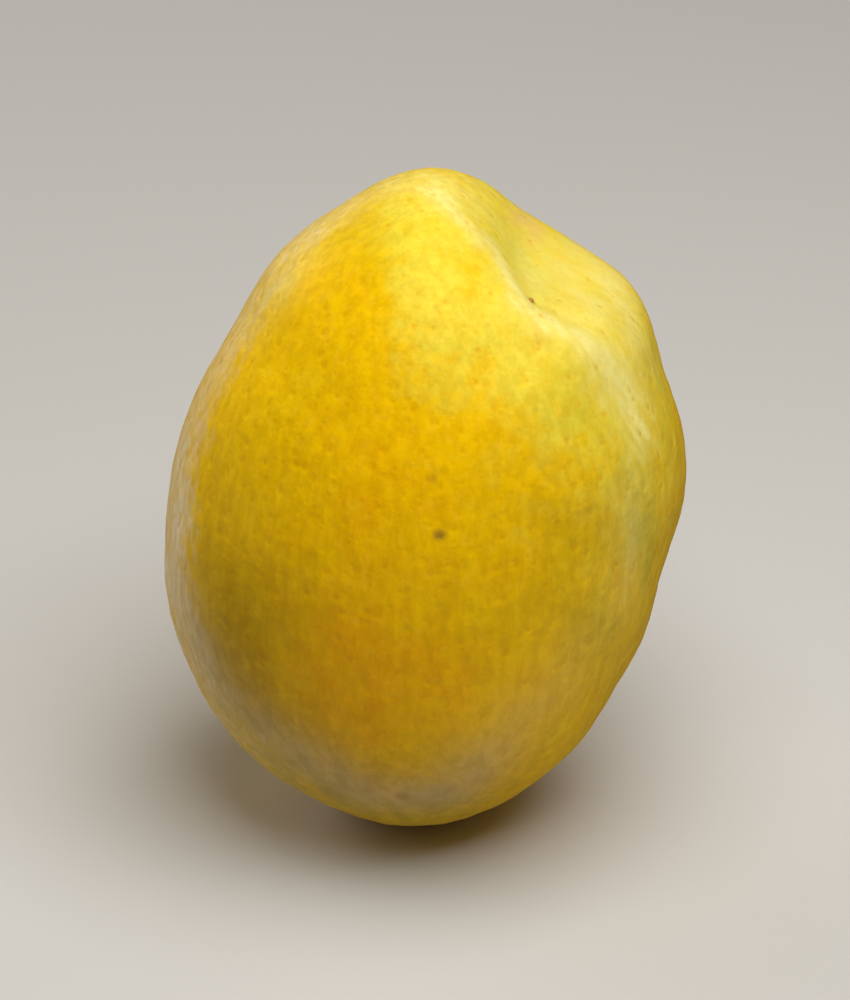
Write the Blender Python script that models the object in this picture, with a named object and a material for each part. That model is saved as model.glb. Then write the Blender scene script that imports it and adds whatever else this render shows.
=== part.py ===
# A picked sweet orange, lopsided like an egg, with a dished blossom end and its calyx button.
# The fruit is shaped standing upright (x right, z up, -y towards the viewer), then leans back
# until it rests on a small flat spot. Lengths are in metres and angles in degrees.
# A place on the skin is given as seen from the core: its angle in the front view, measured
# from the right-hand side anticlockwise, and how far it is turned towards the viewer.

import math

import bmesh
import bpy
from mathutils import Matrix, Vector, geometry, noise

MM = 0.001

# Front outline of the fruit: angle round the core and distance from it.
OUTLINE = (
    (0, 35.0 * MM),
    (15, 36.3 * MM),
    (30, 37.3 * MM),
    (45, 41.1 * MM),
    (60, 41.3 * MM),
    (72, 42.5 * MM),
    (80, 44.5 * MM),
    (90, 45.2 * MM),
    (105, 41.7 * MM),
    (120, 39.1 * MM),
    (135, 35.5 * MM),
    (150, 34.4 * MM),
    (180, 34.6 * MM),
    (210, 38.0 * MM),
    (240, 41.6 * MM),
    (270, 43.7 * MM),
    (300, 39.3 * MM),
    (315, 36.2 * MM),
    (330, 34.6 * MM),
    (345, 33.2 * MM),
)
FRONT_DEPTH = 36.0 * MM
BACK_DEPTH = 36.0 * MM
MEAN_RADIUS = 38.0 * MM

# The core's upper end comes towards the viewer, and the whole fruit leans back.
CORE_TILT = 14.0
LEAN_BACK = 30.0

# The sunken blossom end: a shallow dish, and the scar of the flower near its front edge.
DISH_CENTRE = (61.0, 18.5)
DISH_RADIUS = 25.0
DISH_DEPTH = 3.4 * MM
DISH_RIM_SOFTNESS = 1.3
SCAR = (61.5, 33.5)

# Ridges of the skin: the places each runs through, half width and height. The first is the
# lip on the viewer's side of the scar, the second a soft edge down the front. Each fades in
# and out over a quarter of its run.
RIDGE_FADE = 0.25
RIDGES = (
    (
        ((92, 13), (83, 25), (78, 28), (74, 28), (69, 36), (61, 42), (50, 41), (40, 38), (21, 34)),
        3.0 * MM,
        0.8 * MM,
    ),
    (((97, 23), (101, 44), (113, 69)), 6.5 * MM, 0.6 * MM),
)

# Furrows that run out from the scar: places on the way, half width and depth. Each fades
# over the last two thirds of its run, and where they meet the deepest one counts.
FURROW_FADE = 0.67
FURROWS = (
    (((67, 32), (71, 28), (76, 24), (81, 18), (86, 8)), 3.2 * MM, 0.4 * MM),
    (((67, 27), (69, 20), (71, 8), (72, -6), (73, -22)), 3.2 * MM, 0.8 * MM),
    (((51, 35), (41, 32), (31, 27)), 3.8 * MM, 0.6 * MM),
    (((54, 18), (45, 2), (35, -14)), 3.2 * MM, 0.7 * MM),
)

# The dished stem end, which holds the calyx button, and its short folds.
STEM_END = (228.0, -28.0)
STEM_DISH_RADIUS = 17.0
STEM_DISH_DEPTH = 3.0 * MM
STEM_FOLDS = 9
STEM_FOLD_DEPTH = 0.45 * MM
STEM_FOLD_START = 8.0
STEM_FOLD_END = 26.0
STEM_FOLD_UNEVENNESS = 1.3

# Swellings of the skin: place, spread in degrees and height. The last two are the hollows in
# front of the lip.
SWELLINGS = (
    ((262, -38), 34, 0.6 * MM),
    ((20, -45), 30, 0.8 * MM),
    ((150, -40), 32, -0.8 * MM),
    ((335, 25), 26, 0.5 * MM),
    ((77, 37), 6, -0.5 * MM),
    ((52, 47), 6, -0.5 * MM),
)

# Gentle waves of the skin that no two fruits share.
WAVE_SIZE = 17.0 * MM
WAVE_HEIGHT = 0.35 * MM

# The skin's mesh: meridians between the two ends, and rings round them.
SKIN_MERIDIANS = 72
SKIN_RINGS = 54

FLAT_SPOT_CUT = 1.2 * MM

# The calyx button: five short sepals round the cut stump of the stalk.
BUTTON_RADIUS = 3.9 * MM
SEPALS = 5
SEPAL_REACH = 1.1 * MM
SEPAL_SHARPNESS = 1.5
SEPAL_THICKNESS = 0.75 * MM
STALK_RADIUS = 1.5 * MM
STALK_RISE = 1.5 * MM
STALK_FLARE = 0.7 * MM
BUTTON_GAP = 0.4 * MM
BUTTON_SEGMENTS = 50
BUTTON_RINGS = 20

SKIN_COLOUR = (0.86, 0.50, 0.02)
SKIN_ROUGHNESS = 0.42
CALYX_COLOUR = (0.20, 0.17, 0.06)
CALYX_ROUGHNESS = 0.85


def place(angle, towards):
    """Unit direction from the core to a place on the skin."""
    a = math.radians(angle)
    t = math.radians(towards)
    return Vector((math.cos(t) * math.cos(a), -math.sin(t), math.cos(t) * math.sin(a)))


def smooth(x):
    """0 to 1 with a level start and end."""
    x = min(max(x, 0.0), 1.0)
    return x * x * (3.0 - 2.0 * x)


def outline_radius(angle):
    """The front outline as a smooth closed curve through its points."""
    count = len(OUTLINE)
    after = next((i for i, (a, _) in enumerate(OUTLINE) if a > angle), count)
    knots = []
    for step in (-2, -1, 0, 1):
        turn, index = divmod(after + step, count)
        knots.append((OUTLINE[index][0] + 360.0 * turn, OUTLINE[index][1]))
    (a0, r0), (a1, r1), (a2, r2), (a3, r3) = knots
    span = a2 - a1
    t = (angle - a1) / span
    slope1 = (r2 - r0) / (a2 - a0) * span
    slope2 = (r3 - r1) / (a3 - a1) * span
    return (
        (2 * t**3 - 3 * t**2 + 1) * r1
        + (t**3 - 2 * t**2 + t) * slope1
        + (3 * t**2 - 2 * t**3) * r2
        + (t**3 - t**2) * slope2
    )


def distance_to_path(direction, points):
    """Distance over the skin to a path through these places, and how far along it that is."""
    nearest = math.pi
    along = 0.0
    spans = len(points) - 1
    for i in range(spans):
        start = place(*points[i])
        end = place(*points[i + 1])
        _, share = geometry.intersect_point_line(direction, start, end)
        share = min(max(share, 0.0), 1.0)
        away = direction.angle(start.lerp(end, share).normalized())
        if away < nearest:
            nearest = away
            along = (i + share) / spans
    return nearest * MEAN_RADIUS, along


def body_radius(direction):
    """Distance from the core to the skin along a unit direction, without the two ends."""
    angle = math.degrees(math.atan2(direction.z, direction.x)) % 360.0
    depth = FRONT_DEPTH if direction.y < 0.0 else BACK_DEPTH
    flat = (direction.x**2 + direction.z**2) / outline_radius(angle) ** 2
    radius = 1.0 / math.sqrt(flat + direction.y**2 / depth**2)
    for where, spread, height in SWELLINGS:
        away = direction.angle(place(*where)) / math.radians(spread)
        radius += height * math.exp(-(away**2))
    return radius


def blossom_drop(direction):
    """How far the blossom end sinks, with its furrows and less the ridges."""
    away = min(math.degrees(direction.angle(place(*DISH_CENTRE))) / DISH_RADIUS, 1.0)
    drop = DISH_DEPTH * (1.0 - away**2) ** DISH_RIM_SOFTNESS
    for points, half_width, height in RIDGES:
        gap, along = distance_to_path(direction, points)
        fade = smooth(along / RIDGE_FADE) * smooth((1.0 - along) / RIDGE_FADE)
        drop -= height * fade * math.exp(-((gap / half_width) ** 2))
    deepest = 0.0
    for points, half_width, depth in FURROWS:
        gap, along = distance_to_path(direction, (SCAR, *points))
        fade = smooth((1.0 - along) / FURROW_FADE)
        deepest = max(deepest, depth * fade * math.exp(-((gap / half_width) ** 2)))
    return drop + deepest


def stem_drop(direction):
    """How far the stem end sinks, with the short folds that run out from the button."""
    centre = place(*STEM_END)
    away = math.degrees(direction.angle(centre))
    side = centre.orthogonal().normalized()
    turn = math.atan2(direction.dot(centre.cross(side)), direction.dot(side))
    ripple = math.sin(STEM_FOLDS * turn + STEM_FOLD_UNEVENNESS * math.sin(2.0 * turn))
    half = (STEM_FOLD_END - STEM_FOLD_START) / 2.0
    run = smooth((away - STEM_FOLD_START) / half) * smooth((STEM_FOLD_END - away) / half)
    sunk = 1.0 - smooth(away / STEM_DISH_RADIUS)
    return STEM_DISH_DEPTH * sunk + STEM_FOLD_DEPTH * run * ripple


def skin_point(direction, lift=0.0):
    """The place on the finished skin along a unit direction, or a little above it."""
    radius = body_radius(direction) - blossom_drop(direction) - stem_drop(direction)
    radius += WAVE_HEIGHT * noise.noise(direction * (MEAN_RADIUS / WAVE_SIZE))
    point = direction * (radius + lift)
    point.y -= math.tan(math.radians(CORE_TILT)) * point.z
    return point


def new_material(name, colour, roughness):
    material = bpy.data.materials.new(name)
    material.use_nodes = True
    shader = material.node_tree.nodes["Principled BSDF"]
    shader.inputs["Base Color"].default_value = (*colour, 1.0)
    shader.inputs["Roughness"].default_value = roughness
    return material


def new_object(name, mesh_data, material, collection):
    mesh = bpy.data.meshes.new(name)
    mesh_data.to_mesh(mesh)
    mesh_data.free()
    mesh.materials.append(material)
    mesh.shade_smooth()
    obj = bpy.data.objects.new(name, mesh)
    collection.objects.link(obj)
    return obj


def fruit_mesh():
    """The whole fruit as one closed skin, its meridians running from end to end."""
    blossom = place(*SCAR)
    stem = place(*STEM_END)
    bend_axis = (-blossom).cross(stem).normalized()
    bend = (-blossom).angle(stem)
    upright = blossom.to_track_quat("Z", "Y").to_matrix().to_4x4()
    mesh = bmesh.new()
    bmesh.ops.create_uvsphere(
        mesh, u_segments=SKIN_MERIDIANS, v_segments=SKIN_RINGS, radius=1.0, matrix=upright
    )
    for vertex in mesh.verts:
        direction = vertex.co.normalized()
        share = smooth(direction.angle(blossom) / math.pi)
        direction.rotate(Matrix.Rotation(bend * share, 3, bend_axis))
        vertex.co = skin_point(direction)
    return mesh


def cut_flat_spot(mesh):
    """Cuts the skin level where the leaning fruit touches the surface."""
    lowest = min(vertex.co.z for vertex in mesh.verts)
    level = Vector((0.0, 0.0, lowest + FLAT_SPOT_CUT))
    everything = mesh.verts[:] + mesh.edges[:] + mesh.faces[:]
    bmesh.ops.bisect_plane(
        mesh, geom=everything, plane_co=level, plane_no=(0.0, 0.0, 1.0), clear_inner=True
    )
    rim = [edge for edge in mesh.edges if edge.is_boundary]
    bmesh.ops.contextual_create(mesh, geom=rim)
    bmesh.ops.recalc_face_normals(mesh, faces=mesh.faces[:])


def middle_of_base(mesh):
    """The point under the middle of the fruit, on the surface that it rests on."""
    low = Vector(min(vertex.co[i] for vertex in mesh.verts) for i in range(3))
    high = Vector(max(vertex.co[i] for vertex in mesh.verts) for i in range(3))
    return Vector(((low.x + high.x) / 2, (low.y + high.y) / 2, low.z))


def button_mesh():
    """The calyx button, pressed from a ball: its underside follows the dished skin."""
    centre = place(*STEM_END)
    side = centre.orthogonal().normalized()
    other = centre.cross(side)
    base = body_radius(centre) - STEM_DISH_DEPTH
    mesh = bmesh.new()
    bmesh.ops.create_uvsphere(
        mesh, u_segments=BUTTON_SEGMENTS, v_segments=BUTTON_RINGS, radius=1.0
    )
    for vertex in mesh.verts:
        turn = math.atan2(vertex.co.y, vertex.co.x)
        out = min(math.hypot(vertex.co.x, vertex.co.y), 1.0)
        tip = abs(math.cos(SEPALS * turn / 2.0)) ** SEPAL_SHARPNESS
        reach = out * (BUTTON_RADIUS + SEPAL_REACH * tip)
        across = (side * math.cos(turn) + other * math.sin(turn)) * reach
        rise = BUTTON_GAP
        if vertex.co.z > 0.0:
            rise += SEPAL_THICKNESS * math.sqrt(max(1.0 - out**4, 0.0))
            rise += STALK_RISE * smooth((STALK_RADIUS + STALK_FLARE - reach) / STALK_FLARE)
        vertex.co = skin_point((centre * base + across).normalized(), rise)
    return mesh


def main():
    for obj in list(bpy.data.objects):
        bpy.data.objects.remove(obj)
    collection = bpy.data.collections.new("sweet_orange")
    bpy.context.scene.collection.children.link(collection)

    lean = Matrix.Rotation(math.radians(-LEAN_BACK), 4, "X")
    fruit = fruit_mesh()
    fruit.transform(lean)
    cut_flat_spot(fruit)
    settle = Matrix.Translation(-middle_of_base(fruit))
    fruit.transform(settle)
    button = button_mesh()
    button.transform(settle @ lean)

    skin = new_material("orange_skin", SKIN_COLOUR, SKIN_ROUGHNESS)
    calyx = new_material("dry_calyx", CALYX_COLOUR, CALYX_ROUGHNESS)
    new_object("orange_fruit", fruit, skin, collection)
    new_object("calyx_button", button, calyx, collection)


main()
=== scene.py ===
# Looks of a picked sweet orange: pebbled rind, flower scar, dry calyx, pale floor, soft light.
# Lengths are in metres, or in millimetres where the name ends in Mm.
# A spot on the rind is given as the photo shows it: mm to the right of the fruit's middle and
# mm above it, in the plane that the camera looks at.

import math

import bmesh
import bpy
import numpy as np
from mathutils import Matrix, Vector, noise
from mathutils.bvhtree import BVHTree


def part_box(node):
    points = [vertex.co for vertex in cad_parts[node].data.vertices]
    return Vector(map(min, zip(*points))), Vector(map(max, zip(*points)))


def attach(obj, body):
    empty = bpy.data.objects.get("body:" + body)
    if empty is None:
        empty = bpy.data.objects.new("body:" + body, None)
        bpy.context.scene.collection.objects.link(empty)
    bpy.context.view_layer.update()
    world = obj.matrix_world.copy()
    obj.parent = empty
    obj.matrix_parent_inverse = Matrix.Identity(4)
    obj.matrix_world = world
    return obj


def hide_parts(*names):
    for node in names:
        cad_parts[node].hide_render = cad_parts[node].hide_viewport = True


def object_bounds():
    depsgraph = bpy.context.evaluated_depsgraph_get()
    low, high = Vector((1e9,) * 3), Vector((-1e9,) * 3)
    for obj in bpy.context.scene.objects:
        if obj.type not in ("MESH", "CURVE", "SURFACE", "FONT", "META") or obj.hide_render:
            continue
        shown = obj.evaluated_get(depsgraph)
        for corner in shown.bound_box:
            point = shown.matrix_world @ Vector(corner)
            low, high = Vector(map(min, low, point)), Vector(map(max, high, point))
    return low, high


mm = 0.001

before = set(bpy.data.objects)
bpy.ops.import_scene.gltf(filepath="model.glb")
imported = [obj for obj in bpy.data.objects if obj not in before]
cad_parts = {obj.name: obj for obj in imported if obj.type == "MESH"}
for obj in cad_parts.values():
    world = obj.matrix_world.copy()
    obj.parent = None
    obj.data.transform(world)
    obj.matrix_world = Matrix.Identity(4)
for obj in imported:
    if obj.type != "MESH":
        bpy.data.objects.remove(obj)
cadLow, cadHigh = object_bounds()
print("frame loaded:", ", ".join(sorted(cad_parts)))

# the camera's directions, which the spots on the rind use too
cameraLook = {
    "elevation": 30.0,
    "lens": 300.0,
    "fruitShare": 0.66,  # of the picture's height
}
sight = math.radians(cameraLook["elevation"])
toRight = Vector((1.0, 0.0, 0.0))
toTop = Vector((0.0, math.sin(sight), math.cos(sight)))
toViewer = Vector((0.0, -math.cos(sight), math.sin(sight)))


# shapes

def ramp(x, low, high):
    # 0 at low and 1 at high, with soft ends
    share = np.clip((x - low) / (high - low), 0.0, 1.0)
    return share * share * (3.0 - 2.0 * share)


def seenBox(node):
    # middle and height of a CAD node as the camera sees it
    spots = [v.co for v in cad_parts[node].data.vertices]
    middle = Vector((0.0, 0.0, 0.0))
    for axis in (toRight, toTop, toViewer):
        reach = [p.dot(axis) for p in spots]
        middle += axis * (min(reach) + max(reach)) / 2
    reach = [p.dot(toTop) for p in spots]
    return middle, max(reach) - min(reach)


def mergedCopy(node):
    # a CAD mesh is loose triangles, so a copy of it is merged first
    mesh = bmesh.new()
    mesh.from_mesh(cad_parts[node].data)
    bmesh.ops.remove_doubles(mesh, verts=mesh.verts, dist=0.001 * mm)
    bmesh.ops.join_triangles(
        mesh, faces=mesh.faces, angle_face_threshold=0.3, angle_shape_threshold=0.7
    )
    return mesh


def smoothOut(mesh, passes):
    for _ in range(passes):
        bmesh.ops.smooth_vert(
            mesh, verts=mesh.verts, factor=0.5, use_axis_x=True, use_axis_y=True, use_axis_z=True
        )
    bmesh.ops.recalc_face_normals(mesh, faces=mesh.faces)


def roundedTree(mesh, levels):
    # the same shape without its facets, for rays to land on
    data = bpy.data.meshes.new("guide")
    mesh.to_mesh(data)
    mesh.free()
    guide = bpy.data.objects.new("guide", data)
    bpy.context.scene.collection.objects.link(guide)
    rounding = guide.modifiers.new("rounding", "SUBSURF")
    rounding.levels = rounding.render_levels = levels
    tree = BVHTree.FromObject(guide, bpy.context.evaluated_depsgraph_get())
    bpy.data.objects.remove(guide)
    return tree


def meshPoints(data, what="co"):
    points = np.empty(len(data.vertices) * 3)
    data.vertices.foreach_get(what, points)
    return points.reshape(-1, 3)


def movePoints(data, points):
    data.vertices.foreach_set("co", points.ravel())
    data.update()


def noiseAt(points, sizeMm, shift=0.0):
    # -1 to 1, one value a point
    return np.array([noise.noise(Vector(p) / (sizeMm * mm) + Vector((shift, 0, 0))) for p in points])


def storeTone(data, name, values):
    layer = data.attributes.new(name, "FLOAT", "POINT")
    layer.data.foreach_set("value", np.clip(values, 0.0, 1.0).astype(np.float32))


def newPiece(name, mesh, material, nodes=()):
    data = bpy.data.meshes.new(name)
    mesh.to_mesh(data)
    mesh.free()
    data.materials.append(material)
    data.shade_smooth()
    piece = bpy.data.objects.new(name, data)
    bpy.context.scene.collection.objects.link(piece)
    if nodes:
        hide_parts(*nodes)
    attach(piece, "root")
    return piece


fruitMiddle, fruitHeight = seenBox("orange_fruit")
fruitTree = roundedTree(mergedCopy("orange_fruit"), 2)
# the calyx button's middle, and its way out of the fruit
calyxMiddle = Vector(meshPoints(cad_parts["calyx_button"].data).mean(axis=0))
calyxOutward = (calyxMiddle - fruitTree.find_nearest(calyxMiddle)[0]).normalized()


def seenSpot(across, upward):
    # the point of the rind that the camera sees there
    start = fruitMiddle + (toRight * across + toTop * upward) * mm + toViewer * 0.3
    place, _, _, _ = fruitTree.ray_cast(start, -toViewer)
    return place


def awayFromRoute(points, spots):
    # mm to the line through these spots of the rind, and how far along it that is, 0 to 1
    line = [seenSpot(*spot) for spot in spots]
    nearest = np.full(len(points), np.inf)
    along = np.zeros(len(points))
    for i in range(len(line) - 1):
        start, run = np.array(line[i]), np.array(line[i + 1] - line[i])
        share = np.clip((points - start) @ run / (run @ run), 0.0, 1.0)
        away = np.linalg.norm(points - start - share[:, None] * run, axis=1)
        closer = away < nearest
        nearest[closer] = away[closer]
        along[closer] = ((i + share) / (len(line) - 1))[closer]
    return nearest / mm, along


# nodes of the materials

def tint(red, green, blue):
    # an 8-bit picture colour as the linear colour that a socket takes
    linear = []
    for c in (red / 255.0, green / 255.0, blue / 255.0):
        linear.append(c / 12.92 if c <= 0.04045 else ((c + 0.055) / 1.055) ** 2.4)
    return (*linear, 1.0)


def newMaterial(name):
    material = bpy.data.materials.new(name)
    material.use_nodes = True
    tree = material.node_tree
    return material, tree, tree.nodes["Principled BSDF"]


def feed(tree, socket, value):
    if isinstance(value, bpy.types.NodeSocket):
        tree.links.new(value, socket)
    else:
        socket.default_value = value


def addNode(tree, kind, inputs=(), **settings):
    node = tree.nodes.new(kind)
    for key, value in settings.items():
        setattr(node, key, value)
    for socket, value in dict(inputs).items():
        feed(tree, node.inputs[socket], value)
    return node


def calc(tree, operation, *values):
    node = addNode(tree, "ShaderNodeMath", operation=operation)
    for socket, value in zip(node.inputs, values):
        feed(tree, socket, value)
    return node.outputs[0]


def band(tree, value, low, high, atLow=0.0, atHigh=1.0):
    inputs = {"Value": value, "From Min": low, "From Max": high, "To Min": atLow, "To Max": atHigh}
    node = addNode(tree, "ShaderNodeMapRange", inputs, interpolation_type="SMOOTHSTEP")
    return node.outputs[0]


def blendTints(tree, share, first, second, how="MIX"):
    # a Mix node takes its colours at sockets 6 and 7, and gives one at 2
    node = addNode(tree, "ShaderNodeMix", data_type="RGBA", blend_type=how)
    feed(tree, node.inputs[0], share)
    feed(tree, node.inputs[6], first)
    feed(tree, node.inputs[7], second)
    return node.outputs[2]


def grain(tree, place, sizeMm, detail=2.0, roughness=0.5):
    inputs = {"Vector": place, "Scale": 1 / (sizeMm * mm), "Detail": detail, "Roughness": roughness}
    return addNode(tree, "ShaderNodeTexNoise", inputs).outputs["Fac"]


def cells(tree, place, sizeMm):
    inputs = {"Vector": place, "Scale": 1 / (sizeMm * mm)}
    return addNode(tree, "ShaderNodeTexVoronoi", inputs).outputs["Distance"]


def tone(tree, name):
    return addNode(tree, "ShaderNodeAttribute", attribute_name=name).outputs["Fac"]


def objectPlace(tree):
    return addNode(tree, "ShaderNodeTexCoord").outputs["Object"]


# the rind

rind = {
    "cutsPerEdge": 127,
    "smoothPasses": 26,
    # soft waves, dents and pebbles: size and height in mm, and the shift of their noise
    "relief": ((9.0, 0.07, 3.1), (4.6, 0.06, 7.7), (2.0, 0.09, 11.3)),
    "calmRelief": 0.7,  # the share of it that calm patches lose
    "flatSpotMm": (6.5, 12.0),  # from the foot's middle: no relief inside, all of it outside
    "footMm": 12.0,  # how high that reaches
    "scarSpot": (14.2, 26.2),
    "scarPitMm": (1.5, 0.25),  # width and depth
    "frontAt": (-0.1, 0.3),  # facing at which the patches begin, and show in full
    # patchy, mottled, streaked and ragged noise: size in mm, the share of the height that
    # counts for it, and its shift
    "noises": ((21.0, 1.0, 5.0), (7.0, 1.0, 9.0), (3.2, 0.35, 4.0), (2.2, 1.0, 2.0)),
    "raggedness": 0.5,
    # how far streaks break up each tone
    "streaky": {"green": 0.9, "creamAndHighlight": 0.8, "paintedShade": 0.3, "paintedLowSheen": 0.2, "collar": 0.6},
    # on the seen side, and on the hidden one at the foot and at the top
    "ripeness": {
        "seen": 0.45,
        "hidden": (0.7, 0.25),
        "climb": (0.3, 1.0),  # shares of the height between which it changes
        "patchy": 0.2,
        "mottled": 0.1,
        "streaked": 0.08,
    },
    "greenPatches": 0.16,
    "collar": {"widthMm": 8.0, "green": 0.45},  # a greener ring round the calyx
    # the cream ridge that runs down from the top and fans out on the right, partly painted highlight
    "lip": {
        "route": ((1.6, 40.6), (4.4, 37.6), (7.2, 34.8), (9.5, 33.1), (11.2, 28.9), (12.6, 26.2),
                  (14.3, 24.6), (16.4, 23.2), (19.2, 22.1), (21.8, 20.6), (23.3, 18.9),
                  (24.8, 16.3), (26.3, 14.4), (27.6, 12.3), (28.4, 9.9)),
        "widthMm": (2.1, 3.6),  # at its upper end, and where it fans out
        "fansOut": (0.5, 0.9),  # shares of its length between which it widens
        "fibre": (0.8, 7.0, 52.0),  # width and length in mm, and the slope down to the right
        "fibreStrength": (0.5, 1.3),  # at its two ends
        "wanderMm": 0.5,
        "creamAndHighlight": 0.7,
    },
    "valley": {
        "route": ((2.5, 42.2), (6.6, 39.0), (9.6, 36.6), (12.6, 32.4), (13.8, 28.8)),
        "widthMm": 3.0,
        "green": 0.1,
        "creamAndHighlight": 0.2,
    },
    # patches of colour on the viewer's side, and calm ones with fewer flecks and pits: mm
    # across and upward from the fruit's middle, half width and half height in mm, lean to the
    # left in degrees, strength
    "patches": {
        "ripe": (
            (-8.5, -23.8, 12.0, 14.0, 0, 0.55),
            (7.5, -22.0, 10.0, 10.0, 0, 0.2),
            (-5.5, 4.0, 12.0, 12.0, 0, 0.25),
            (5.6, 29.5, 2.6, 3.8, 20, 0.3),
            (16.0, 20.4, 3.5, 3.0, 30, 0.25),
            (18.0, 15.0, 6.0, 7.0, 0, -0.3),
            (-9.5, 31.0, 4.5, 9.0, 0, 0.35),
            (18.0, 25.0, 17.0, 17.0, 0, -0.42),
            (1.0, 37.0, 15.0, 8.0, 0, -0.45),
            (27.6, 3.0, 8.0, 14.0, 0, -0.25),
        ),
        "green": (
            (22.0, -13.0, 4.5, 11.0, 10, 0.3),
            (29.5, -8.0, 2.2, 14.0, 8, 0.3),
            (32.5, 12.0, 2.0, 9.0, 12, 0.3),
            (-8.0, 33.0, 7.0, 5.0, 0, 0.15),
            (12.6, 32.0, 2.5, 5.0, 30, 0.3),
            (22.0, 10.0, 5.0, 8.0, 20, 0.15),
            (-20.0, -35.5, 4.0, 12.0, 50, 0.3),
            (-3.0, -43.0, 14.0, 3.0, 0, 0.3),
        ),
        # pale streaks, and a painted highlight along the upper-left rim
        "creamAndHighlight": (
            (27.2, -4.0, 2.4, 11.0, -4, 0.35),
            (-19.0, 28.5, 2.2, 8.0, -36, 0.35),
            (22.4, 30.0, 9.0, 8.0, 40, 0.5),
            (25.0, 17.0, 4.0, 8.0, 20, 0.2),
            (28.0, 21.5, 2.5, 6.0, 25, 0.3),
            (1.0, 42.0, 12.0, 3.5, 0, 0.25),
        ),
        "calm": (
            (19.0, 33.0, 11.0, 13.0, 40, 1.0),
            (26.0, 13.0, 4.0, 9.0, 25, 0.7),
        ),
        # painted shade: darker patches on the lower left, at the bottom and right of the middle
        "paintedShade": (
            (-27.0, -12.5, 4.5, 13.0, 12, 0.6),
            (15.0, -6.5, 8.0, 9.0, 0, 0.25),
            (-20.0, -13.5, 6.0, 7.0, 0, 0.45),
            (-21.5, -27.0, 8.0, 15.0, 35, 0.7),
            (-2.0, -40.0, 20.0, 8.0, 0, 0.75),
        ),
        "blush": (
            (12.8, 38.1, 1.6, 1.6, 0, 0.6),
            (14.6, 35.6, 1.4, 1.8, 0, 0.5),
        ),
    },
    # painted sheen: a dull tan band of reflected light round the lower left and the bottom, which
    # climbs on the right: its route, its half width, and its strength at each share of the way
    "paintedLowSheenBand": {
        "route": ((-32.6, -12.5), (-29.2, -20.9), (-23.9, -28.8), (-16.1, -34.5), (-7.2, -39.8),
                  (3.1, -39.3), (8.7, -34.1), (12.9, -29.1), (17.3, -25.8), (21.2, -18.8),
                  (25.2, -12.6), (27.5, -5.6)),
        "widthMm": 6.0,
        "shares": (0.0, 0.08, 0.45, 0.6, 0.9, 1.0),
        "strengths": (0.5, 0.85, 0.95, 0.28, 0.06, 0.0),
    },
    # painted highlight: the paler patch at the upper middle, with an abrupt edge on its left
    "paintedHighlight": {
        "left": (-5.8, -4.2),
        "middle": (1.5, 21.0),
        "half": (9.0, 11.0),
        "strength": 0.28,
        "raggedMm": 1.6,
    },
    # painted sheen: a pale rim on the left side that stands in for light reflected at grazing
    # angles:
    # its share by how far the rind faces the viewer, then its strength at each angle round the
    # middle
    "paintedRimSheen": {
        "facing": (-0.8, -0.3, -0.05, 0.14, 0.32, 0.50),
        "shares": (0.0, 0.2, 0.5, 1.0, 1.0, 0.0),
        "angles": (85, 110, 160, 176, 196, 215, 240, 262),
        "strengths": (0.0, 0.45, 0.55, 1.0, 1.0, 0.75, 0.35, 0.0),
        "raggedness": 0.08,
        "evenly": 0.85,
        "streaked": 0.3,
    },
    # small brown specks: across, upward, radius, strength
    "specks": (
        (1.9, -4.6, 1.1, 0.7),
        (1.0, 2.9, 0.9, 0.3),
        (14.2, 26.2, 0.9, 0.4),
        (-3.2, -39.8, 1.2, 0.3),
        (-30.9, -21.9, 1.0, 0.25),
    ),
    # ripeness at which lemon turns to gold, and gold to ochre
    "goldAt": (-0.1, 0.45),
    "ochreAt": (0.45, 1.15),
    "mottleMm": 3.0,
    "mottle": 0.13,  # the ripeness that mottles add or take
    "streakMm": 0.9,
    "streakClimb": 0.3,  # the share of the height that counts for streaks and shades
    "shadeMm": 1.4,
    "fleckMm": 1.5,
    "fleckShare": 0.26,
    "glandMm": (2.7, 1.25),  # from one large gland to the next, and between small ones
    "glandShares": (0.36, 0.1),  # how far they colour the rind
    "poreMm": 0.35,
    "bumpMm": 0.14,
    "pitDepths": (1.0, 0.45, 0.35),  # large glands, small glands, pores, as shares of bumpMm
    "calmLook": 0.75,  # the share of flecks, shades and pits that calm patches lose
    "throughSheen": 0.15,  # the share of flecks and glands that the painted sheen band and painted rim sheen leave
    "roughness": (0.38, 0.5),
    "gloss": {
        "Specular IOR Level": 0.22,
        "Specular Tint": (1.0, 0.75, 0.1, 1.0),
        "Coat Weight": 0.04,
        "Coat Roughness": 0.25,
        "Subsurface Weight": 0.12,
        "Subsurface Radius": (1.0, 0.55, 0.08),
        "Subsurface Scale": 3.0 * mm,
    },
    "tints": {
        "lemon": tint(243, 220, 66),
        "gold": tint(252, 202, 3),
        "ochre": tint(246, 178, 3),
        "green": tint(184, 184, 18),
        "creamAndHighlight": tint(252, 238, 140),
        "paintedShade": tint(206, 204, 190),  # painted shade: darkens what lies under it
        # painted sheen of the band round the bottom
        "paintedLowSheen": tint(230, 198, 137),
        "blush": tint(236, 190, 120),
        # painted sheen of the left rim
        "paintedRimSheen": tint(252, 232, 196),
        "gland": tint(222, 150, 2),
        "fleck": tint(255, 216, 40),
        "shade": tint(241, 238, 222),  # darkens too, in fine mottles
        "speck": tint(120, 84, 40),
    },
}


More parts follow.
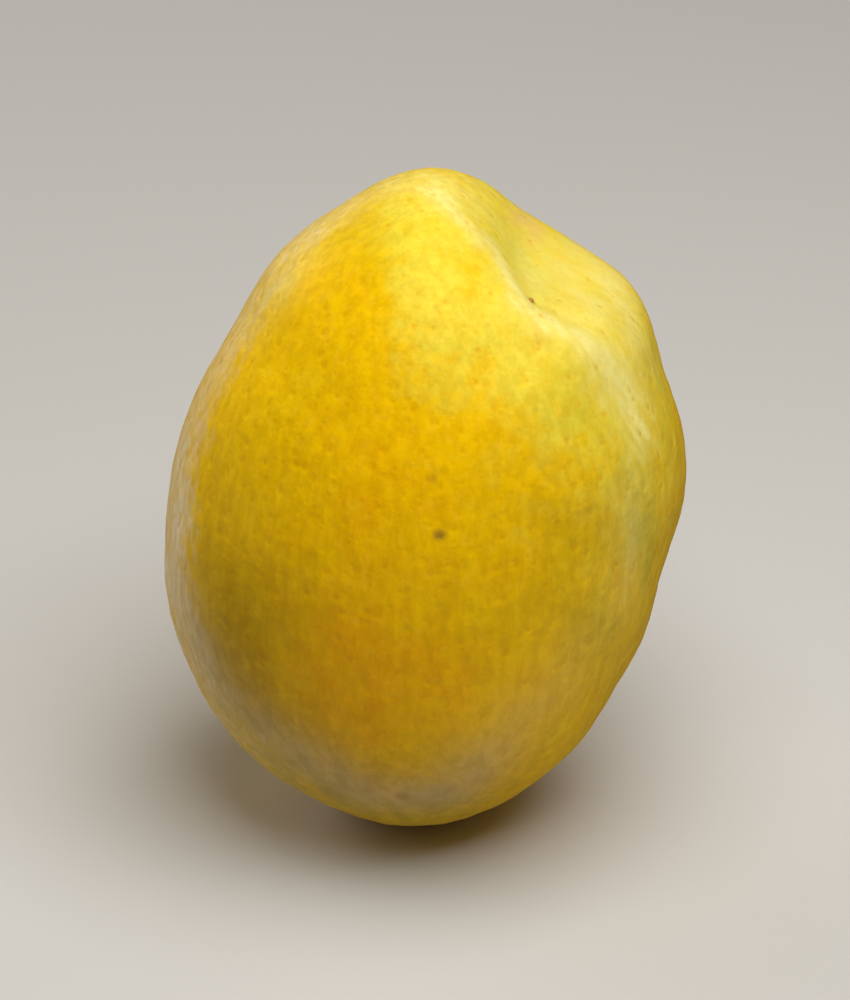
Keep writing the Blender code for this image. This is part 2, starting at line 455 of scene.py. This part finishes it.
def rindMesh():
    # a cube cut fine and blown up to the fruit: even faces all over and no poles
    mesh = bmesh.new()
    bmesh.ops.create_cube(mesh, size=2.0)
    bmesh.ops.subdivide_edges(mesh, edges=mesh.edges, cuts=rind["cutsPerEdge"], use_grid_fill=True)
    low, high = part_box("orange_fruit")
    core, half = (low + high) / 2, (high - low) / 2
    for vertex in mesh.verts:
        way = Vector(math.tan(c * math.pi / 4) * h for c, h in zip(vertex.co, half)).normalized()
        vertex.co, _, _, _ = fruitTree.ray_cast(core, way)
    smoothOut(mesh, rind["smoothPasses"])
    return mesh


def seenPlaces(points, normals):
    # how much the patches show, where the rind is seen, and how far it faces the viewer
    away = (points - np.array(fruitMiddle)) / mm
    facing = normals @ np.array(toViewer)
    front = ramp(facing, *rind["frontAt"])
    return front, away @ np.array(toRight), away @ np.array(toTop), facing


def patchTone(across, upward, name):
    total = np.zeros(len(across))
    for x, y, halfWidth, halfHeight, lean, strength in rind["patches"][name]:
        turn = math.radians(lean)
        sideways = (across - x) * math.cos(turn) + (upward - y) * math.sin(turn)
        lengthways = (upward - y) * math.cos(turn) - (across - x) * math.sin(turn)
        away = (sideways / halfWidth) ** 2 + (lengthways / halfHeight) ** 2
        total += strength * np.exp(-away)
    return total


def shapeRind(piece):
    data = piece.data
    points, normals = meshPoints(data), meshPoints(data, "normal")
    foot = np.linalg.norm(points * (1, 1, 0), axis=1) / mm
    lying = (points[:, 2] < rind["footMm"] * mm) * (1 - ramp(foot, *rind["flatSpotMm"]))
    relief = np.zeros(len(points))
    for size, height, shift in rind["relief"]:
        relief += height * noiseAt(points, size, shift)
    _, across, upward, _ = seenPlaces(points, normals)
    relief *= 1 - rind["calmRelief"] * np.clip(patchTone(across, upward, "calm"), 0, 1)
    away = np.linalg.norm(points - np.array(seenSpot(*rind["scarSpot"])), axis=1) / mm
    pitWidth, pitDepth = rind["scarPitMm"]
    relief -= pitDepth * np.exp(-((away / pitWidth) ** 2))
    points += normals * (relief * mm * (1 - lying))[:, None]
    points[:, 2] = np.maximum(points[:, 2], 0.0)
    movePoints(data, points)


# painted highlight: paler, less ripe rind in a patch at the upper middle
def paintedHighlightTone(across, upward):
    paintedHighlight = rind["paintedHighlight"]
    (x, y), (halfWidth, halfHeight) = paintedHighlight["middle"], paintedHighlight["half"]
    patch = np.exp(-(((across - x) / halfWidth) ** 2) - ((upward - y) / halfHeight) ** 2)
    return paintedHighlight["strength"] * patch * ramp(across, *paintedHighlight["left"])


def ripeTone(front, height, patchy):
    ripeness = rind["ripeness"]
    foot, top = ripeness["hidden"]
    hidden = foot + (top - foot) * ramp(height, *ripeness["climb"]) + ripeness["patchy"] * patchy
    return front * ripeness["seen"] + (1 - front) * hidden


def lipTone(points, across, upward, mottled, ragged):
    lip = rind["lip"]
    away, along = awayFromRoute(points, lip["route"])
    narrow, wide = lip["widthMm"]
    reach = (narrow + (wide - narrow) * ramp(along, *lip["fansOut"])) * ragged
    width, length, slope = lip["fibre"]
    down, side = math.sin(math.radians(slope)), math.cos(math.radians(slope))
    crosswise = across * down + upward * side + lip["wanderMm"] * mottled
    lengthways = (across * side - upward * down) * width / length
    places = np.column_stack((crosswise, lengthways, np.zeros(len(points)))) * mm
    weak, strong = lip["fibreStrength"]
    fibre = (weak + (strong - weak) * along) * noiseAt(places, width, 1.0)
    return np.exp(-((away / reach) ** 2)) * (1 + fibre)


# painted sheen: a tan band of reflected light round the lower left and the bottom
def paintedLowSheenTone(points):
    paintedLowSheen = rind["paintedLowSheenBand"]
    away, along = awayFromRoute(points, paintedLowSheen["route"])
    strength = np.interp(along, paintedLowSheen["shares"], paintedLowSheen["strengths"])
    return strength * np.exp(-((away / paintedLowSheen["widthMm"]) ** 2))


# painted sheen: a pale rim on the left side, by facing and by angle round the middle
def paintedRimSheenTone(across, upward, facing):
    paintedRimSheen = rind["paintedRimSheen"]
    side = np.interp(facing, paintedRimSheen["facing"], paintedRimSheen["shares"])
    angle = np.degrees(np.arctan2(upward, across)) % 360
    return side * np.interp(angle, paintedRimSheen["angles"], paintedRimSheen["strengths"])


def paintRind(piece):
    # soft masks that the material mixes its colours by
    data = piece.data
    points, normals = meshPoints(data), meshPoints(data, "normal")
    front, across, upward, facing = seenPlaces(points, normals)
    patchy, mottled, streaked, ragged = [
        noiseAt(points * (1, 1, climb), size, shift) for size, climb, shift in rind["noises"]
    ]
    ragged = 1 + rind["raggedness"] * ragged
    streaks = {name: 1 + share * streaked for name, share in rind["streaky"].items()}
    tones = {name: front * patchTone(across, upward, name) for name in rind["patches"]}

    ripeness, paintedHighlight, paintedRimSheen = rind["ripeness"], rind["paintedHighlight"], rind["paintedRimSheen"]
    tones["ripe"] += ripeTone(front, points[:, 2] / (cadHigh.z - cadLow.z), patchy)
    tones["ripe"] += ripeness["mottled"] * mottled + ripeness["streaked"] * streaked
    # painted highlight at the upper middle
    tones["ripe"] -= paintedHighlightTone(across + paintedHighlight["raggedMm"] * mottled, upward)

    lip, valley, collar = rind["lip"], rind["valley"], rind["collar"]
    away, _ = awayFromRoute(points, valley["route"])
    valleyShare = np.exp(-((away / (valley["widthMm"] * ragged)) ** 2))
    away = np.linalg.norm(points - np.array(calyxMiddle), axis=1) / mm
    collarShare = np.exp(-((away / collar["widthMm"]) ** 2)) * streaks["collar"]
    tones["green"] = tones["green"] * streaks["green"] + valley["green"] * valleyShare
    tones["green"] += collar["green"] * collarShare
    tones["green"] += rind["greenPatches"] * ramp(patchy, 0.0, 2 / 3)
    lipShare = lipTone(points, across, upward, mottled, ragged)
    # cream: pale streaks, with painted highlight along the lip's crest and the upper-left rim
    tones["creamAndHighlight"] = tones["creamAndHighlight"] * streaks["creamAndHighlight"] + valley["creamAndHighlight"] * valleyShare
    tones["creamAndHighlight"] += lip["creamAndHighlight"] * lipShare

    tones["paintedShade"] *= streaks["paintedShade"]
    tones["paintedLowSheen"] = paintedLowSheenTone(points) * streaks["paintedLowSheen"]
    tones["blush"] *= ragged
    tones["paintedRimSheen"] = paintedRimSheenTone(across, upward, facing + paintedRimSheen["raggedness"] * mottled)
    tones["paintedRimSheen"] *= paintedRimSheen["evenly"] + paintedRimSheen["streaked"] * streaked
    for name, values in tones.items():
        storeTone(data, name, values)


def rindMaterial():
    material, tree, shader = newMaterial("orangeRind")
    place, tints = objectPlace(tree), rind["tints"]
    mapping = {"Vector": place, "Scale": (1.0, 1.0, rind["streakClimb"])}
    lengthways = addNode(tree, "ShaderNodeMapping", mapping).outputs["Vector"]

    # ripeness, and the tones that lie over it
    fine = grain(tree, place, rind["mottleMm"], 3.0, 0.6)
    mottle = band(tree, fine, 0.3, 0.7, -rind["mottle"], rind["mottle"])
    ripe = calc(tree, "ADD", tone(tree, "ripe"), mottle)
    colour = blendTints(tree, band(tree, ripe, *rind["goldAt"]), tints["lemon"], tints["gold"])
    colour = blendTints(tree, band(tree, ripe, *rind["ochreAt"]), colour, tints["ochre"])
    green = calc(tree, "MULTIPLY", tone(tree, "green"), band(tree, fine, 0.2, 0.8, 0.7, 1.3))
    colour = blendTints(tree, green, colour, tints["green"])
    # painted sheen of reflected light round the bottom
    colour = blendTints(tree, tone(tree, "paintedLowSheen"), colour, tints["paintedLowSheen"])
    streaks = grain(tree, lengthways, rind["streakMm"], 3.0, 0.6)
    # painted sheen on the left rim, broken up by streaks
    dry = calc(tree, "MULTIPLY", tone(tree, "paintedRimSheen"), band(tree, streaks, 0.3, 0.65, 0.45, 1.2))
    colour = blendTints(tree, dry, colour, tints["paintedRimSheen"])
    for name in ("creamAndHighlight", "blush"):
        colour = blendTints(tree, tone(tree, name), colour, tints[name])
    # painted shade, multiplied over the colour
    colour = blendTints(tree, tone(tree, "paintedShade"), colour, tints["paintedShade"], "MULTIPLY")

    # flecks, fine shades and glands, fewer where the rind is calm or under the painted sheens
    calm = calc(tree, "MULTIPLY", tone(tree, "calm"), rind["calmLook"])
    lively = calc(tree, "SUBTRACT", 1.0, calm)
    # where painted sheen lies, fewer flecks and glands show
    sheened = calc(tree, "ADD", tone(tree, "paintedLowSheen"), tone(tree, "paintedRimSheen"))
    unsheened = band(tree, sheened, 0.0, 0.9, 1.0, rind["throughSheen"])
    flecks = grain(tree, place, rind["fleckMm"], 2.0, 0.5)
    flecks = calc(tree, "MULTIPLY", band(tree, flecks, 0.5, 0.7, 0.0, rind["fleckShare"]), unsheened)
    colour = blendTints(tree, calc(tree, "MULTIPLY", flecks, lively), colour, tints["fleck"])
    shades = band(tree, grain(tree, lengthways, rind["shadeMm"], 3.0, 0.65), 0.35, 0.65)
    shades = calc(tree, "MULTIPLY", shades, lively)
    colour = blendTints(tree, shades, colour, tints["shade"], "MULTIPLY")
    glands, smallGlands = [cells(tree, place, size) for size in rind["glandMm"]]
    glandShare, smallShare = rind["glandShares"]
    dots = calc(tree, "MULTIPLY", band(tree, glands, 0.04, 0.22, glandShare, 0.0), unsheened)
    colour = blendTints(tree, dots, colour, tints["gland"])
    dots = band(tree, smallGlands, 0.10, 0.34, smallShare, 0.0)
    colour = blendTints(tree, dots, colour, tints["gland"])

    for across, upward, radiusMm, strength in rind["specks"]:
        spot = seenSpot(across, upward)
        warp = calc(tree, "MULTIPLY", grain(tree, place, 0.5), 0.5 * radiusMm * mm)
        apart = addNode(tree, "ShaderNodeVectorMath", {0: place, 1: spot}, operation="DISTANCE")
        reach = calc(tree, "ADD", apart.outputs["Value"], warp)
        share = band(tree, reach, 0.3 * radiusMm * mm, 1.5 * radiusMm * mm, strength, 0.0)
        colour = blendTints(tree, share, colour, tints["speck"])
    feed(tree, shader.inputs["Base Color"], colour)

    pitDepth, smallDepth, poreDepth = rind["pitDepths"]
    pits = band(tree, glands, 0.0, 0.42, -pitDepth, 0.0)
    smallPits = band(tree, smallGlands, 0.0, 0.5, -smallDepth, 0.0)
    pores = calc(tree, "MULTIPLY", grain(tree, place, rind["poreMm"], 2.0, 0.6), poreDepth)
    height = calc(tree, "ADD", calc(tree, "ADD", pits, smallPits), pores)
    height = calc(tree, "MULTIPLY", height, lively)
    inputs = {"Height": height, "Distance": rind["bumpMm"] * mm, "Strength": 0.6}
    bump = addNode(tree, "ShaderNodeBump", inputs)
    feed(tree, shader.inputs["Normal"], bump.outputs["Normal"])
    feed(tree, shader.inputs["Roughness"], band(tree, fine, 0.2, 0.8, *rind["roughness"]))
    for socket, value in rind["gloss"].items():
        shader.inputs[socket].default_value = value
    return material


orangeSkin = newPiece("orangeSkin", rindMesh(), rindMaterial(), ["orange_fruit"])
shapeRind(orangeSkin)
paintRind(orangeSkin)
print("rind done:", len(orangeSkin.data.polygons), "faces")

# the dried stub of the flower's style, sunk in its pit at the blossom end

stub = {
    "radiusMm": 0.42,
    "flatness": 0.95,
    "lumpMm": 0.6,
    "unevenness": 0.2,
    "grainMm": 0.25,
    "tints": (tint(190, 142, 72), tint(150, 106, 50)),
    "roughness": 0.8,
}


def stubMesh():
    data = orangeSkin.data
    away = np.linalg.norm(meshPoints(data) - np.array(seenSpot(*rind["scarSpot"])), axis=1)
    seat = data.vertices[int(np.argmin(away))]
    mesh = bmesh.new()
    bmesh.ops.create_icosphere(mesh, subdivisions=4, radius=stub["radiusMm"] * mm)
    for vertex in mesh.verts:
        vertex.co *= 1 + stub["unevenness"] * noise.noise(vertex.co / (stub["lumpMm"] * mm))
        vertex.co.z *= stub["flatness"]
    turn = seat.normal.to_track_quat("Z", "Y").to_matrix().to_4x4()
    mesh.transform(Matrix.Translation(seat.co) @ turn)
    return mesh


def stubMaterial():
    material, tree, shader = newMaterial("driedStub")
    rough = grain(tree, objectPlace(tree), stub["grainMm"], 3.0, 0.6)
    share = band(tree, rough, 0.35, 0.65)
    feed(tree, shader.inputs["Base Color"], blendTints(tree, share, *stub["tints"]))
    shader.inputs["Roughness"].default_value = stub["roughness"]
    return material


stylarStub = newPiece("stylarStub", stubMesh(), stubMaterial())
print("stub done:", len(stylarStub.data.polygons), "faces")

# the calyx button: dry sepals round the cut stump of the stalk, pressed down on the rind

calyx = {
    "cuts": 1,
    "smoothPasses": 2,
    "sinkMm": 0.55,
    # wrinkles and finer ones: size and height in mm, and the shift of their noise
    "relief": ((0.9, 0.09, 6.0), (0.3, 0.036, 2.0)),
    "veins": 30,
    "veinMm": 0.08,
    "wanderMm": 2.0,  # size of the veins' wander
    # from the axis: where the stump ends and the sepals begin, the rim of its cut face, the
    # middle and half width of the woody ring in it, and the pale tips of the sepals
    "stumpMm": (1.75, 2.35),
    "faceMm": (1.15, 1.45),
    "ringMm": (0.55, 0.25),
    "tipMm": (3.6, 4.8),
    "patchMm": 0.7,
    "fibreMm": 0.2,
    "bumpMm": 0.1,
    "roughness": 0.85,
    "tints": {
        "dry": tint(136, 120, 60),
        "dark": tint(84, 68, 34),
        "edge": tint(164, 134, 78),
        "cut": tint(202, 176, 122),
        "wood": tint(122, 92, 52),
    },
}


def calyxSpots(points):
    # distance from the axis in mm, and angle round it
    side = np.array(calyxOutward.orthogonal().normalized())
    other = np.cross(np.array(calyxOutward), side)
    away = points - np.array(calyxMiddle)
    x, y = away @ side, away @ other
    return np.hypot(x, y) / mm, np.arctan2(y, x)


def calyxMesh():
    mesh = mergedCopy("calyx_button")
    bmesh.ops.subdivide_edges(mesh, edges=mesh.edges, cuts=calyx["cuts"], use_grid_fill=True)
    smoothOut(mesh, calyx["smoothPasses"])
    return mesh


def shapeCalyx(piece):
    data = piece.data
    points, normals = meshPoints(data), meshPoints(data, "normal")
    reach, angle = calyxSpots(points)
    waves = np.sin(calyx["veins"] * angle + 2 * noiseAt(points, calyx["wanderMm"]))
    relief = calyx["veinMm"] * ramp(reach, *calyx["stumpMm"]) * waves
    for size, height, shift in calyx["relief"]:
        relief += height * noiseAt(points, size, shift)
    points += normals * (relief * mm)[:, None] - np.array(calyxOutward) * calyx["sinkMm"] * mm
    movePoints(data, points)
    top = normals @ np.array(calyxOutward)
    face = (1 - ramp(reach, *calyx["faceMm"])) * ramp(top, 0.5, 0.8)
    ringAt, ringWide = calyx["ringMm"]
    storeTone(data, "cut", face)
    storeTone(data, "wood", face * np.exp(-(((reach - ringAt) / ringWide) ** 2)))
    storeTone(data, "edge", ramp(reach, *calyx["tipMm"]))


def calyxMaterial():
    material, tree, shader = newMaterial("dryCalyx")
    place, tints = objectPlace(tree), calyx["tints"]
    share = band(tree, grain(tree, place, calyx["patchMm"], 3.0, 0.6), 0.35, 0.65)
    colour = blendTints(tree, share, tints["dry"], tints["dark"])
    for name in ("edge", "cut", "wood"):
        colour = blendTints(tree, tone(tree, name), colour, tints[name])
    feed(tree, shader.inputs["Base Color"], colour)
    fibre = grain(tree, place, calyx["fibreMm"], 2.0, 0.6)
    inputs = {"Height": fibre, "Distance": calyx["bumpMm"] * mm, "Strength": 0.7}
    bump = addNode(tree, "ShaderNodeBump", inputs)
    feed(tree, shader.inputs["Normal"], bump.outputs["Normal"])
    shader.inputs["Roughness"].default_value = calyx["roughness"]
    return material


dryCalyx = newPiece("dryCalyx", calyxMesh(), calyxMaterial(), ["calyx_button"])
shapeCalyx(dryCalyx)
print("calyx done:", len(dryCalyx.data.polygons), "faces")

# the stage

stageLook = {
    "floorTint": tint(208, 207, 205),
    "floorRoughness": 0.75,
    "floorSize": 6.0,
    "worldTint": tint(242, 229, 190),
    "worldStrength": 0.10,
    # place from the fruit's middle, size, power in watts, colour, and whether it glints
    "lamps": {
        "overhead": ((0.08, -0.13, 0.46), 0.42, 2.9, (1.0, 0.98, 0.95), True),
        "leftBehind": ((-0.62, 0.55, 0.20), 0.6, 3.1, (1.0, 0.98, 0.96), False),
    },
}


def addFloor():
    material, _, shader = newMaterial("paleFloor")
    shader.inputs["Base Color"].default_value = stageLook["floorTint"]
    shader.inputs["Roughness"].default_value = stageLook["floorRoughness"]
    mesh = bmesh.new()
    bmesh.ops.create_grid(mesh, x_segments=1, y_segments=1, size=stageLook["floorSize"] / 2)
    data = bpy.data.meshes.new("floor")
    mesh.to_mesh(data)
    mesh.free()
    data.materials.append(material)
    floor = bpy.data.objects.new("floor", data)
    bpy.context.scene.collection.objects.link(floor)
    floor.visible_glossy = False


def addLights():
    world = bpy.data.worlds.new("studio")
    bpy.context.scene.world = world
    world.use_nodes = True
    sky = world.node_tree.nodes["Background"]
    sky.inputs["Color"].default_value = stageLook["worldTint"]
    sky.inputs["Strength"].default_value = stageLook["worldStrength"]
    for name, (place, size, power, colour, glints) in stageLook["lamps"].items():
        data = bpy.data.lights.new(name, "AREA")
        data.size = size
        data.energy = power
        data.color = colour
        lamp = bpy.data.objects.new(name, data)
        lamp.location = fruitMiddle + Vector(place)
        lamp.rotation_euler = Vector(place).to_track_quat("Z", "Y").to_euler()
        lamp.visible_camera = False
        lamp.visible_glossy = glints
        bpy.context.scene.collection.objects.link(lamp)


def addCamera():
    data = bpy.data.cameras.new("camera")
    data.lens = cameraLook["lens"]
    camera = bpy.data.objects.new("camera", data)
    bpy.context.scene.collection.objects.link(camera)
    pictureHeight = fruitHeight / cameraLook["fruitShare"]
    camera.location = fruitMiddle + toViewer * pictureHeight * data.lens / data.sensor_width
    camera.rotation_euler = (math.pi / 2 - sight, 0.0, 0.0)
    data.clip_start = 0.01
    bpy.context.scene.camera = camera


addFloor()
addLights()
addCamera()
bpy.context.scene.view_settings.view_transform = "Standard"
print("stage, lights and camera done")
